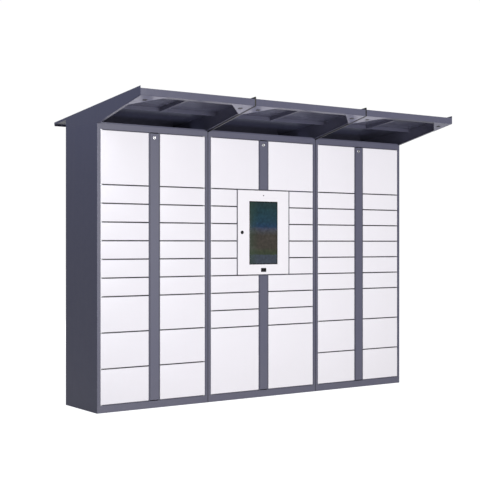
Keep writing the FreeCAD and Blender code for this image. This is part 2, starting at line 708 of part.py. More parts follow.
def canopy_gusset(module, centre, half, side):
    """Triangular corner plate with a slot, lying against the sloping foot of the canopy."""
    body = new_body(f"{module}_gusset")
    outline = new_sketch(body, "XY_Plane")
    inward = "-1" if side == "1" else "1"
    draw_polygon(outline, [("0", "0"), (f"{inward} * gusset_leg", "0"), ("0", "gusset_leg")])
    pad(body, outline, "sheet")
    slot = new_sketch(body, "XY_Plane")
    middle = f"{inward} * gusset_slot_place"
    draw_polygon(slot, rectangle(
        f"{middle} - gusset_slot_long / 2", "gusset_slot_place - gusset_slot_wide / 2",
        f"{middle} + gusset_slot_long / 2", "gusset_slot_place + gusset_slot_wide / 2"))
    pocket(body, slot, "sheet")
    tilt = FreeCAD.Vector(0, number("canopy_reach"), number(f"cabinet_height - {FASCIA_FOOT}"))
    body.Placement.Rotation = FreeCAD.Rotation(FreeCAD.Vector(0, 1, 0), tilt)
    return place(body, f"{centre} + {side} * ({half} - sheet)", f"{CANOPY_FRONT} + fascia_set",
                 f"{FASCIA_FOOT} - 2 * sheet")


def purlin(module, centre, half, side):
    """Folded channel under the roof, from the rafter to a side plate, just ahead of the cabinet."""
    rear = f"({FRONT} - purlin_set)"
    front = f"({rear} - purlin_wide)"
    web = f"({front} + purlin_thick)"
    foot = f"({roof_level(front)} - sheet - purlin_deep)"
    profile = [
        (front, f"{roof_level(front)} - sheet"), (front, foot), (f"{front} + purlin_lip", foot),
        (f"{front} + purlin_lip", f"{foot} + purlin_thick"), (web, f"{foot} + purlin_thick"),
        (web, f"{roof_level(web)} - sheet - purlin_thick"),
        (rear, f"{roof_level(rear)} - sheet - purlin_thick"), (rear, f"{roof_level(rear)} - sheet"),
    ]
    start = "0" if side == "1" else f"-({half} - sheet)"
    long = f"{half} - sheet" if side == "1" else f"{half} - sheet - rafter_wide"
    return place(prism(f"{module}_purlin", "YZ_Plane", profile, long, start), centre)


def rafter(module, centre):
    """Channel on its side under the middle of the roof, from the fascia into the gap between purlins."""
    front = f"({CANOPY_FRONT} + fascia_set + sheet)"
    rear = f"({FRONT} - purlin_set - purlin_wide + purlin_lip)"

    def strip(top, nose, deep):
        return [
            (front, f"{roof_level(front)} - sheet - {top}"),
            (front, f"{roof_level(front)} - sheet - {nose}"),
            (rear, f"{roof_level(rear)} - sheet - {deep}"), (rear, f"{roof_level(rear)} - sheet - {top}"),
        ]

    body = new_body(f"{module}_rafter")
    outer = new_sketch(body, "YZ_Plane", "-rafter_wide")
    draw_polygon(outer, strip("0", "rafter_nose", "rafter_deep"))
    pad(body, outer, "rafter_wide")
    hollow = new_sketch(body, "YZ_Plane", "-rafter_wide + sheet")
    draw_polygon(hollow, strip("sheet", "(rafter_nose - sheet)", "(rafter_deep - sheet)"))
    pocket(body, hollow, "rafter_wide - sheet")
    return place(body, centre)


def upstand(module, centre, half):
    """Low strip along the front edge of the cabinet's top."""
    return panel(f"{module}_upstand", (f"{centre} - {half} + plate_flange", FRONT, "cabinet_height"),
                 (f"2 * ({half} - plate_flange)", "sheet", "upstand"))


def build_canopies():
    roofs, plates, gussets, braces = ([] for _ in range(4))
    for module, (centre, half) in MODULES.items():
        roofs += [canopy_roof(module, centre, half), canopy_back_wall(module, centre, half)]
        for side in SIDES.values():
            plates.append(canopy_side_plate(module, centre, half, side))
            gussets.append(canopy_gusset(module, centre, half, side))
            braces.append(purlin(module, centre, half, side))
        braces += [rafter(module, centre), upstand(module, centre, half)]
    for label, pieces in (
        ("canopy_roofs", roofs), ("canopy_side_plates", plates), ("canopy_gussets", gussets),
        ("canopy_braces", braces),
    ):
        group(label, pieces)


build_carcasses()
build_doors()
build_covers()
build_console()
build_canopies()
doc.recompute()

failed = [item.Label for item in doc.Objects if {"Invalid", "Error"} & set(item.State)]
if failed:
    raise RuntimeError(f"objects that did not build: {failed}")
for node in nodes:
    if node.Shape.isNull() or not node.Shape.isValid():
        raise RuntimeError(f"{node.Label} has no valid shape")
if len(nodes) > 60 or len({node.Label for node in nodes}) != len(nodes):
    raise RuntimeError("too many nodes, or two with one label")

os.makedirs("parts", exist_ok=True)
for node in nodes:
    node.Shape.exportStep(f"parts/{node.Label}.step")
print(len(nodes), "nodes written")
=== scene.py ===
"""Outdoor parcel locker bank: powder-coated steel cabinets, white doors, console and rain canopies."""

import json
import logging
import math
from dataclasses import dataclass
from enum import Enum

import bmesh
import bpy
from mathutils import Matrix, Vector


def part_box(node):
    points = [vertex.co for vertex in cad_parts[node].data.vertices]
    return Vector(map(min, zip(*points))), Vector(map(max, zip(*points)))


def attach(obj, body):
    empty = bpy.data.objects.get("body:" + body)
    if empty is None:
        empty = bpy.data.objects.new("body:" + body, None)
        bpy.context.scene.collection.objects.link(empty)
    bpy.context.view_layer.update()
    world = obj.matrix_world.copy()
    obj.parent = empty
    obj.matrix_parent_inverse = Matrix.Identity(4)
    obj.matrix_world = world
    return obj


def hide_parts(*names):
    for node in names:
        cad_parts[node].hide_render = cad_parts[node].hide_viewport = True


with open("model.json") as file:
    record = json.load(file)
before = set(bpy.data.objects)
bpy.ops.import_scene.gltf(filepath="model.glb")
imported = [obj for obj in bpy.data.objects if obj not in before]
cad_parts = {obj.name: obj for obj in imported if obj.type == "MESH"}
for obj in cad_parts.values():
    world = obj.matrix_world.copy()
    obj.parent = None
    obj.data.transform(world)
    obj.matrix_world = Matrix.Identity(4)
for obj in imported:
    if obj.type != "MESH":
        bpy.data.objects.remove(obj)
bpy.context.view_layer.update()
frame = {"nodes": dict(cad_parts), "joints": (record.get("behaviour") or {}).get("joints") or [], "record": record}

log = logging.getLogger("parcel_locker")

MM = 0.001
Point = tuple[float, float, float]
Ring = list[Point]


# ------------------------------------------------------------------ colours and nodes

def linear(hex_colour: str) -> tuple[float, float, float, float]:
    """Turn an sRGB hex colour into linear light.

    Args:
        hex_colour: six hex digits, with or without a leading #.

    Returns:
        Linear red, green, blue and an alpha of 1.
    """
    digits = hex_colour.lstrip("#")
    channels = [int(digits[i:i + 2], 16) / 255 for i in (0, 2, 4)]
    lit = [c / 12.92 if c <= 0.04045 else ((c + 0.055) / 1.055) ** 2.4 for c in channels]
    return (lit[0], lit[1], lit[2], 1.0)


def per_metre(size_mm: float) -> float:
    """Texture scale that gives features of a real size in millimetres."""
    return 1.0 / (size_mm * MM)


def add_node(tree: bpy.types.NodeTree, kind: str, links: dict | None = None, **settings) -> bpy.types.Node:
    """Add one node with its settings and links.

    Args:
        tree: the node tree.
        kind: the node's type name.
        links: input name or index to the output socket that feeds it.
        settings: attributes of the node, or values of inputs given as in_NAME with _ for spaces.

    Returns:
        The new node.
    """
    node = tree.nodes.new(kind)
    for name, value in settings.items():
        if name.startswith("in_"):
            node.inputs[name[3:].replace("_", " ")].default_value = value
        else:
            setattr(node, name, value)
    for name, source in (links or {}).items():
        tree.links.new(source, node.inputs[name])
    return node


# ------------------------------------------------------------------ finishes

@dataclass(frozen=True)
class Finish:
    """A surface finish: what the material is and how it was made."""

    name: str
    colour: str
    roughness: float = 0.45
    metallic: float = 0.0
    ior: float = 1.5

    def material(self) -> bpy.types.Material:
        """Give the finish's material, made once.

        Returns:
            The material with its nodes.
        """
        found = bpy.data.materials.get(self.name)
        if found:
            return found
        made = bpy.data.materials.new(self.name)
        made.use_nodes = True
        tree = made.node_tree
        shader = tree.nodes["Principled BSDF"]
        shader.inputs["Base Color"].default_value = linear(self.colour)
        shader.inputs["Roughness"].default_value = self.roughness
        shader.inputs["Metallic"].default_value = self.metallic
        if not self.metallic:
            shader.inputs["IOR"].default_value = self.ior
        made.diffuse_color = linear(self.colour)
        self.dress(tree, shader)
        return made

    def dress(self, tree: bpy.types.NodeTree, shader: bpy.types.Node) -> None:
        """Add the finish's own pattern to the shader; a plain finish adds grain only.

        Args:
            tree: the material's node tree.
            shader: its Principled shader.
        """
        place = add_node(tree, "ShaderNodeTexCoord")
        grain = add_node(tree, "ShaderNodeTexNoise", {"Vector": place.outputs["Object"]},
                         in_Scale=per_metre(2.0), in_Detail=3.0)
        bump = add_node(tree, "ShaderNodeBump", {"Height": grain.outputs[0]},
                        in_Strength=0.2, in_Distance=0.1 * MM)
        tree.links.new(bump.outputs[0], shader.inputs["Normal"])


@dataclass(frozen=True)
class PowderCoat(Finish):
    """Polyester powder coat, sprayed and baked on sheet steel: satin, with a fine orange peel."""

    cloud: str = "#6f6f80"       # second tone of the large, faint unevenness
    dust: str = "#8a8378"        # dry dust that gathers near the ground
    dust_share: float = 0.12
    dust_top_mm: float = 450.0
    peel_mm: float = 4.0         # real orange peel is 1 to 2 mm; coarser here so that it shows
    streak: float = 0.05
    cloud_mm: float = 420.0
    streak_wide_mm: float = 35.0
    streak_tall_mm: float = 900.0
    speckle_mm: float = 60.0

    def dress(self, tree: bpy.types.NodeTree, shader: bpy.types.Node) -> None:
        """Add clouding, faint rain streaks, dust near the ground and orange peel.

        Args:
            tree: the material's node tree.
            shader: its Principled shader.
        """
        place = add_node(tree, "ShaderNodeTexCoord").outputs["Object"]
        clouds = add_node(tree, "ShaderNodeTexNoise", {"Vector": place}, in_Scale=per_metre(self.cloud_mm),
                          in_Detail=4.0, in_Roughness=0.55)
        tone = add_node(tree, "ShaderNodeMix", {"Factor": clouds.outputs[0]}, data_type="RGBA",
                        in_A=linear(self.colour), in_B=linear(self.cloud))
        # Streaks are noise that is squeezed along X and Y and drawn out along Z.
        across, down = per_metre(self.streak_wide_mm), per_metre(self.streak_tall_mm)
        drawn = add_node(tree, "ShaderNodeMapping", {"Vector": place}, in_Scale=(across, across, down))
        streaks = add_node(tree, "ShaderNodeTexNoise", {"Vector": drawn.outputs[0]}, in_Scale=1.0,
                           in_Detail=2.0)
        wash = add_node(tree, "ShaderNodeMapRange", {"Value": streaks.outputs[0]}, in_From_Min=0.5,
                        in_From_Max=0.8, in_To_Min=0.0, in_To_Max=self.streak)
        washed = add_node(tree, "ShaderNodeMix", {"Factor": wash.outputs[0], "A": tone.outputs["Result"]},
                          data_type="RGBA", in_B=linear(self.dust))
        height = add_node(tree, "ShaderNodeSeparateXYZ", {"Vector": place}).outputs["Z"]
        low = add_node(tree, "ShaderNodeMapRange", {"Value": height}, interpolation_type="SMOOTHSTEP",
                       in_From_Min=0.0, in_From_Max=self.dust_top_mm * MM, in_To_Min=self.dust_share,
                       in_To_Max=0.0)
        speckle = add_node(tree, "ShaderNodeTexNoise", {"Vector": place},
                           in_Scale=per_metre(self.speckle_mm), in_Detail=6.0)
        share = add_node(tree, "ShaderNodeMath", {0: low.outputs[0], 1: speckle.outputs[0]},
                         operation="MULTIPLY")
        dusty = add_node(tree, "ShaderNodeMix", {"Factor": share.outputs[0], "A": washed.outputs["Result"]},
                         data_type="RGBA", in_B=linear(self.dust))
        tree.links.new(dusty.outputs["Result"], shader.inputs["Base Color"])
        sheen = add_node(tree, "ShaderNodeMapRange", {"Value": speckle.outputs[0]},
                         in_To_Min=self.roughness - 0.06, in_To_Max=self.roughness + 0.10)
        tree.links.new(sheen.outputs[0], shader.inputs["Roughness"])
        peel = add_node(tree, "ShaderNodeTexNoise", {"Vector": place}, in_Scale=per_metre(self.peel_mm),
                        in_Detail=1.0)
        bump = add_node(tree, "ShaderNodeBump", {"Height": peel.outputs[0]}, in_Strength=0.25,
                        in_Distance=0.08 * MM)
        tree.links.new(bump.outputs[0], shader.inputs["Normal"])


@dataclass(frozen=True)
class TurnedMetal(Finish):
    """Plated or turned metal: fine rings and handling marks break up the reflection."""

    ring_mm: float = 0.8
    wear_mm: float = 9.0

    def dress(self, tree: bpy.types.NodeTree, shader: bpy.types.Node) -> None:
        """Add turning marks and worn, slightly duller patches.

        Args:
            tree: the material's node tree.
            shader: its Principled shader.
        """
        place = add_node(tree, "ShaderNodeTexCoord").outputs["Object"]
        marks = add_node(tree, "ShaderNodeTexNoise", {"Vector": place}, in_Scale=per_metre(self.ring_mm),
                         in_Detail=2.0)
        wear = add_node(tree, "ShaderNodeTexNoise", {"Vector": place}, in_Scale=per_metre(self.wear_mm),
                        in_Detail=3.0)
        rough = add_node(tree, "ShaderNodeMapRange", {"Value": wear.outputs[0]},
                         in_To_Min=max(0.05, self.roughness - 0.1), in_To_Max=self.roughness + 0.15)
        tree.links.new(rough.outputs[0], shader.inputs["Roughness"])
        bump = add_node(tree, "ShaderNodeBump", {"Height": marks.outputs[0]}, in_Strength=0.3,
                        in_Distance=0.02 * MM)
        tree.links.new(bump.outputs[0], shader.inputs["Normal"])


# The idle picture from its foot up: a soft, wordless landscape, as share of the height and colour.
PICTURE = ((0.0, "#434d5b"), (0.145, "#485362"), (0.16, "#3c4a33"), (0.22, "#434a36"), (0.26, "#4c463e"),
           (0.46, "#504a44"), (0.52, "#55565c"), (0.565, "#50566b"), (0.6, "#2b4a6c"), (0.68, "#264a5e"),
           (0.85, "#254852"), (1.0, "#2b4144"))
SHORE_GREEN = "#3d5540"
SCREEN_BLACK = "#050506"


@dataclass(frozen=True)
class ScreenGlass(Finish):
    """Toughened glass over a switched-on display that shows a soft, wordless landscape."""

    border_mm: float = 7.0
    glow: float = 0.42
    shade: float = 0.20          # how much of the picture also shows by reflected light
    ripple_mm: float = 70.0
    grain_mm: float = 24.0
    shore_mm: float = 90.0

    def dress(self, tree: bpy.types.NodeTree, shader: bpy.types.Node) -> None:
        """Add the idle picture as bands of colour that melt into each other, inside a black border.

        Args:
            tree: the material's node tree.
            shader: its Principled shader.
        """
        low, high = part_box("display_glass")
        place = add_node(tree, "ShaderNodeTexCoord").outputs["Object"]
        ripple = add_node(tree, "ShaderNodeTexNoise", {"Vector": place}, in_Scale=per_metre(self.ripple_mm),
                          in_Detail=5.0, in_Roughness=0.6)
        split = add_node(tree, "ShaderNodeSeparateXYZ", {"Vector": place})
        rise = add_node(tree, "ShaderNodeMapRange", {"Value": split.outputs["Z"]}, in_From_Min=low[2],
                        in_From_Max=high[2])
        sway = add_node(tree, "ShaderNodeMapRange", {"Value": ripple.outputs[0]}, in_To_Min=-0.03,
                        in_To_Max=0.03)
        level = add_node(tree, "ShaderNodeMath", {0: rise.outputs[0], 1: sway.outputs[0]}, operation="ADD")
        picture = add_node(tree, "ShaderNodeValToRGB", {"Fac": level.outputs[0]})
        ramp = picture.color_ramp
        for end in (0, -1):
            ramp.elements[end].position = PICTURE[end][0]
            ramp.elements[end].color = linear(PICTURE[end][1])
        for position, colour in PICTURE[1:-1]:
            ramp.elements.new(position).color = linear(colour)
        grain = add_node(tree, "ShaderNodeTexNoise", {"Vector": place}, in_Scale=per_metre(self.grain_mm),
                         in_Detail=4.0, in_Roughness=0.65)
        mottle = add_node(tree, "ShaderNodeMapRange", {"Value": grain.outputs[0]}, in_To_Min=0.2,
                          in_To_Max=1.7)
        mottled = add_node(tree, "ShaderNodeMix", {"A": picture.outputs["Color"], "B": mottle.outputs[0]},
                           data_type="RGBA", blend_type="MULTIPLY", in_Factor=1.0)
        shore = add_node(tree, "ShaderNodeMapRange", {"Value": split.outputs["X"]}, in_From_Min=low[0],
                         in_From_Max=low[0] + self.shore_mm * MM, in_To_Min=0.55, in_To_Max=0.0)
        wooded = add_node(tree, "ShaderNodeMix", {"Factor": shore.outputs[0], "A": mottled.outputs["Result"]},
                          data_type="RGBA", in_B=linear(SHORE_GREEN))
        inside = None
        for axis, first, last in (("X", low[0], high[0]), ("Z", low[2], high[2])):
            middle = (first + last) / 2
            away = add_node(tree, "ShaderNodeMath", {0: split.outputs[axis]}, operation="SUBTRACT")
            away.inputs[1].default_value = middle
            away = add_node(tree, "ShaderNodeMath", {0: away.outputs[0]}, operation="ABSOLUTE")
            within = add_node(tree, "ShaderNodeMath", {0: away.outputs[0]}, operation="LESS_THAN")
            within.inputs[1].default_value = (last - first) / 2 - self.border_mm * MM
            if inside is None:
                inside = within
            else:
                inside = add_node(tree, "ShaderNodeMath", {0: inside.outputs[0], 1: within.outputs[0]},
                                  operation="MULTIPLY")
        shown = add_node(tree, "ShaderNodeMix", {"Factor": inside.outputs[0], "B": wooded.outputs["Result"]},
                         data_type="RGBA", in_A=linear(SCREEN_BLACK))
        dim = add_node(tree, "ShaderNodeMix", {"A": shown.outputs["Result"]}, data_type="RGBA",
                       blend_type="MULTIPLY", in_Factor=1.0, in_B=(self.shade, self.shade, self.shade, 1.0))
        tree.links.new(dim.outputs["Result"], shader.inputs["Base Color"])
        tree.links.new(shown.outputs["Result"], shader.inputs["Emission Color"])
        shader.inputs["Emission Strength"].default_value = self.glow


FRAME_PAINT = PowderCoat("powder_coat_slate_blue", "#5a5a6d", 0.40, cloud="#5d5d70")
CANOPY_PAINT = PowderCoat("powder_coat_slate_blue_canopy", "#5a5a6d", 0.20, cloud="#5d5d70", dust_share=0.0)
# Painted light: the gussets get the frame's slate blue made lighter, standing in for the light bounced up onto
# them.
GUSSET_PAINTED_LIGHT = PowderCoat("powder_coat_slate_blue_gusset_painted_light", "#8c8ca1", 0.16, cloud="#8a8a9d", dust_share=0.0)
# Painted shade: the shelves and partitions get a darker copy of the frame paint, standing in for the shade inside
# the compartments; its faint dust is real.
INNER_SHADED_PAINT = PowderCoat("powder_coat_slate_blue_inside_painted_shade", "#525264", 0.45, cloud="#4f4f5f", dust_share=0.05)
DOOR_PAINT = PowderCoat("powder_coat_signal_white", "#f0edf3", 0.42, cloud="#edeaf0", dust="#d8d3cc",
                        dust_share=0.10, streak=0.03)
CONSOLE_PAINT = PowderCoat("powder_coat_console_white", "#f2eff4", 0.38, cloud="#efecf1",
                           dust="#d8d3cc", dust_share=0.0, streak=0.02)
NICKEL = TurnedMetal("nickel_plated_zinc", "#c9c8cb", 0.28, 1.0)
BLACK_NICKEL = TurnedMetal("black_nickel_plated_zinc", "#1f1f23", 0.27, 1.0)
PIN_STEEL = TurnedMetal("bright_drawn_steel", "#a9a9ad", 0.3, 1.0)
ZINC_CAST = TurnedMetal("die_cast_zinc", "#9a9a9c", 0.5, 1.0, ring_mm=1.5)
RIVET_ALUMINIUM = TurnedMetal("aluminium_blind_rivet", "#b6b7ba", 0.4, 1.0)
SCREEN = ScreenGlass("display_cover_glass", SCREEN_BLACK, 0.08, ior=1.52)
BLACK_ABS = Finish("black_moulded_abs", "#0c0c0e", 0.26, ior=1.54)
DARK_ACRYLIC = Finish("dark_tinted_acrylic", "#070709", 0.09, ior=1.49)
KEY_HOLE = Finish("shadowed_keyway", "#08080a", 0.7)
GREY_CASE = Finish("grey_equipment_case", "#55565a", 0.55, ior=1.54)
NYLON = Finish("black_nylon_gland", "#18181a", 0.55, ior=1.53)
RUBBER = Finish("black_epdm_rubber", "#0e0e10", 0.36, ior=1.52)


class Slot(Enum):
    """Material slots of the record, passed along with the added pieces."""

    DOOR = "door_paint"
    LOCK = "lock_metal"
    DARK_METAL = "dark_metal"
    CASE = "display_case"
    GLASS = "display_glass"
    BLACK = "black_plastic"


def dress_node(node: str, finish: Finish) -> None:
    """Give a CAD node a finish.

    Args:
        node: the node's name.
        finish: its new finish.
    """
    item = frame["nodes"][node]
    if not item.material_slots:
        item.data.materials.append(None)
    for holder in item.material_slots:
        holder.material = finish.material()


# ------------------------------------------------------------------ mesh tools

def rounded_ring(wide: float, tall: float, inset: float, corner: float, depth: float,
                 steps: int = 4) -> Ring:
    """Points round a rectangle with rounded corners, in an upright plane.

    Args:
        wide: full width of the rectangle.
        tall: full height.
        inset: how far the ring lies inside it.
        corner: corner radius of the full rectangle.
        depth: place of the ring along Y.
        steps: segments in each corner.

    Returns:
        The ring's points, from the rectangle's lower left corner as origin.
    """
    radius = max(corner - inset, 0.15 * MM)
    near = inset + radius
    centres = [(wide - near, near, -90), (wide - near, tall - near, 0), (near, tall - near, 90),
               (near, near, 180)]
    ring = []
    for x, z, start in centres:
        for step in range(steps + 1):
            turn = math.radians(start + 90 * step / steps)
            ring.append((x + radius * math.cos(turn), depth, z + radius * math.sin(turn)))
    return ring


class Form:
    """A mesh under construction."""

    def __init__(self) -> None:
        """Start an empty mesh."""
        self.mesh = bmesh.new()

    def loft(self, rings: list[Ring], at: Point = (0, 0, 0), capped: bool = True) -> None:
        """Join rings of equal count by faces.

        Args:
            rings: the rings in order.
            at: offset of the whole loft.
            capped: whether the first and last rings are closed by a face.
        """
        offset = Vector(at)
        rows = [[self.mesh.verts.new(Vector(p) + offset) for p in ring] for ring in rings]
        for here, after in zip(rows, rows[1:]):
            for index in range(len(here)):
                follow = (index + 1) % len(here)
                self.mesh.faces.new((here[index], here[follow], after[follow], after[index]))
        if capped:
            self.mesh.faces.new(list(reversed(rows[0])))
            self.mesh.faces.new(rows[-1])

    def pan(self, at: Point, wide: float, tall: float, deep: float, sheet: float, bend: float) -> None:
        """Folded sheet-metal pan with rounded bends, open towards +Y.

        Args:
            at: lower front left corner.
            wide: outer width.
            tall: outer height.
            deep: depth of the folds.
            sheet: sheet thickness.
            bend: outer bend radius.
        """
        rings = []
        for step in range(5):
            turn = math.radians(90 * step / 4)
            rings.append(rounded_ring(wide, tall, bend * (1 - math.sin(turn)), bend,
                                      bend * (1 - math.cos(turn))))
        rings.append(rounded_ring(wide, tall, 0, bend, deep))
        rings.append(rounded_ring(wide, tall, sheet, bend, deep))
        rings.append(rounded_ring(wide, tall, sheet, bend, sheet + 0.5 * bend))
        rings.append(rounded_ring(wide, tall, sheet + 0.5 * bend, bend, sheet))
        self.loft(rings, at)

    def block(self, low: Point, high: Point, bend: float = 0.6 * MM, steps: int = 2) -> None:
        """Box with rounded edges.

        Args:
            low: lowest corner.
            high: highest corner.
            bend: edge radius.
            steps: segments in each edge.
        """
        size = [b - a for a, b in zip(low, high)]
        middle = [(a + b) / 2 for a, b in zip(low, high)]
        spread = Matrix.Translation(middle) @ Matrix.Diagonal((*size, 1))
        made = bmesh.ops.create_cube(self.mesh, size=1.0, matrix=spread)
        edges = {edge for vert in made["verts"] for edge in vert.link_edges}
        bmesh.ops.bevel(self.mesh, geom=list(edges), offset=min(bend, 0.45 * min(size)),
                        segments=steps, profile=0.5, affect="EDGES")

    def turned(self, at: Point, profile: list[tuple[float, float]], steps: int = 40) -> None:
        """Turned shape whose axis points to the back.

        Args:
            at: start of the axis.
            profile: radius and distance along the axis, from end to end.
            steps: segments round the axis.
        """
        turn = Vector((0, 0, 1)).rotation_difference(Vector((0, 1, 0))).to_matrix()
        rings = []
        for radius, along in profile:
            reach = max(radius, 0.02 * MM)
            ring = []
            for step in range(steps):
                angle = 2 * math.pi * step / steps
                point = Vector((reach * math.cos(angle), reach * math.sin(angle), along))
                ring.append(tuple(turn @ point))
            rings.append(ring)
        self.loft(rings, at)

    def piece(self, name: str, finish: Finish, body: str, slot: Slot, *nodes: str) -> None:
        """Finish the mesh as a piece of the locker.

        Args:
            name: the piece's name.
            finish: its finish.
            body: the CAD body that it rides on.
            slot: its material slot in the record; not used.
            nodes: CAD nodes that it stands for.
        """
        bmesh.ops.recalc_face_normals(self.mesh, faces=self.mesh.faces[:])
        data = bpy.data.meshes.new(name)
        self.mesh.to_mesh(data)
        self.mesh.free()
        data.polygons.foreach_set("use_smooth", [True] * len(data.polygons))
        data.set_sharp_from_angle(angle=math.radians(32))
        data.materials.append(finish.material())
        item = bpy.data.objects.new(name, data)
        bpy.context.scene.collection.objects.link(item)
        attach(item, body)
        if nodes:
            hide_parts(*nodes)


def inset_ring(ring: Ring, inset: float) -> Ring:
    """Shrink an upright ring evenly towards its middle.

    Args:
        ring: the ring's points.
        inset: how far its edge moves in.

    Returns:
        The smaller ring.
    """
    middle_x = sum(p[0] for p in ring) / len(ring)
    middle_z = sum(p[2] for p in ring) / len(ring)
    half_x = max(p[0] for p in ring) - middle_x
    half_z = max(p[2] for p in ring) - middle_z
    return [(middle_x + (x - middle_x) * (1 - inset / half_x), y,
             middle_z + (z - middle_z) * (1 - inset / half_z)) for x, y, z in ring]


def island_boxes(node: str) -> list[tuple[Vector, Vector]]:
    """Boxes of the separate solids in a CAD node, from the lowest up.

    Args:
        node: the node's name.

    Returns:
        Lowest and highest corner of each solid.
    """
    shape = bmesh.new()
    shape.from_mesh(frame["nodes"][node].data)
    bmesh.ops.remove_doubles(shape, verts=shape.verts[:], dist=0.01 * MM)
    left = set(shape.verts)
    boxes = []
    while left:
        queue = [left.pop()]
        found = list(queue)
        while queue:
            for edge in queue.pop().link_edges:
                for vert in edge.verts:
                    if vert in left:
                        left.remove(vert)
                        queue.append(vert)
                        found.append(vert)
        low = Vector([min(v.co[i] for v in found) for i in range(3)])
        high = Vector([max(v.co[i] for v in found) for i in range(3)])
        boxes.append((low, high))
    shape.free()
    return sorted(boxes, key=lambda box: (box[0].z, box[0].x))


def plate_heights(node: str, along: float) -> tuple[float, float]:
    """Lowest and highest corner of a CAD node near a place along Y."""
    heights = [v.co.z for v in frame["nodes"][node].data.vertices if abs(v.co.y - along) < 1 * MM]
    return min(heights), max(heights)


def joint_of(body: str) -> dict:
    """The joint that moves a body."""
    return next(joint for joint in frame["joints"] if joint["child"] == body)


# ------------------------------------------------------------------ sub-assemblies

@dataclass
class Carcass:
    """Cabinet shells, shelves, partitions and what is fixed to them."""

    rivet_radius: float = 3.2 * MM
    rivet_pitch: float = 150 * MM
    rivet_edge: float = 7.5 * MM

    def dress(self) -> None:
        """Give the carcass nodes their finishes."""
        for node in ("base_plates", "side_walls", "back_panels", "top_panels", "frame_rails"):
            dress_node(node, FRAME_PAINT)
        # Painted shade: the insides get the darker copy of the frame paint.
        for node in ("compartment_shelves", "partition_walls"):
            dress_node(node, INNER_SHADED_PAINT)
        dress_node("door_hinges", PIN_STEEL)
        dress_node("door_locks", ZINC_CAST)
        dress_node("control_computer", GREY_CASE)
        dress_node("cable_gland", NYLON)

    def rivets(self) -> None:
        """Dome-head blind rivets that hold the back panels to the side walls' rear flanges."""
        form = Form()
        dome = [(self.rivet_radius, 0.0), (self.rivet_radius * 0.95, 0.5 * MM),
                (self.rivet_radius * 0.7, 1.0 * MM), (self.rivet_radius * 0.3, 1.3 * MM),
                (0.0, 1.35 * MM)]
        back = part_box("side_walls")[1][1]
        for low, high in island_boxes("back_panels"):
            count = int((high.z - low.z - 2 * self.rivet_edge) / self.rivet_pitch)
            for edge in (low.x + self.rivet_edge, high.x - self.rivet_edge):
                for index in range(count + 1):
                    z = low.z + (high.z - low.z - count * self.rivet_pitch) / 2 + index * self.rivet_pitch
                    form.turned((edge, back - 0.2 * MM, z), dome, steps=14)
        form.piece("back_rivets", RIVET_ALUMINIUM, "cabinet", Slot.LOCK)

    def build(self) -> None:
        """Dress the nodes and add the rivets."""
        self.dress()
        self.rivets()


@dataclass
class CompartmentDoor:
    """One hinged door: a folded pan with a stiffening rib and a striker."""

    name: str
    body: str
    low: Vector
    high: Vector
    hinge_on_left: bool
    deep: float = 18 * MM
    sheet: float = 1.5 * MM
    bend: float = 1.8 * MM
    rib_wide: float = 34 * MM
    rib_deep: float = 9 * MM
    striker: float = 2 * MM
    striker_tall: float = 30 * MM
    mouth_wide: float = 30 * MM
    mouth_tall: float = 44 * MM

    def build(self, *nodes: str) -> None:
        """Build the door.

        Args:
            nodes: the CAD nodes that it stands for.
        """
        wide = self.high.x - self.low.x
        tall = self.high.z - self.low.z
        form = Form()
        form.pan(tuple(self.low), wide, tall, self.deep, self.sheet, self.bend)
        middle = (self.low.x + self.high.x) / 2
        inner = self.low.y + self.sheet
        form.block((middle - self.rib_wide / 2, inner - 0.2 * MM, self.low.z + 5 * MM),
                   (middle + self.rib_wide / 2, inner + self.rib_deep, self.high.z - 5 * MM), 2.5 * MM, 3)
        free = self.high.x - self.sheet if self.hinge_on_left else self.low.x + self.sheet
        inward = -self.striker if self.hinge_on_left else self.striker
        level = (self.low.z + self.high.z) / 2
        form.block((min(free, free + inward), inner, level - self.striker_tall / 2),
                   (max(free, free + inward), self.high.y, level + self.striker_tall / 2), 0.7 * MM)
        form.piece(self.name, DOOR_PAINT, self.body, Slot.DOOR, *nodes)

    def lock_mouth(self, form: Form) -> None:
        """Escutcheon of the electronic lock on the partition beside the striker.

        Args:
            form: the mesh that collects all the escutcheons.
        """
        gap = 2 * MM
        face = self.high.x + gap if self.hinge_on_left else self.low.x - gap
        out = -1.2 * MM if self.hinge_on_left else 1.2 * MM
        level = (self.low.z + self.high.z) / 2
        start = self.high.y + 2 * MM
        form.block((min(face, face + out), start, level - self.mouth_tall / 2),
                   (max(face, face + out), start + self.mouth_wide, level + self.mouth_tall / 2), 0.5 * MM)


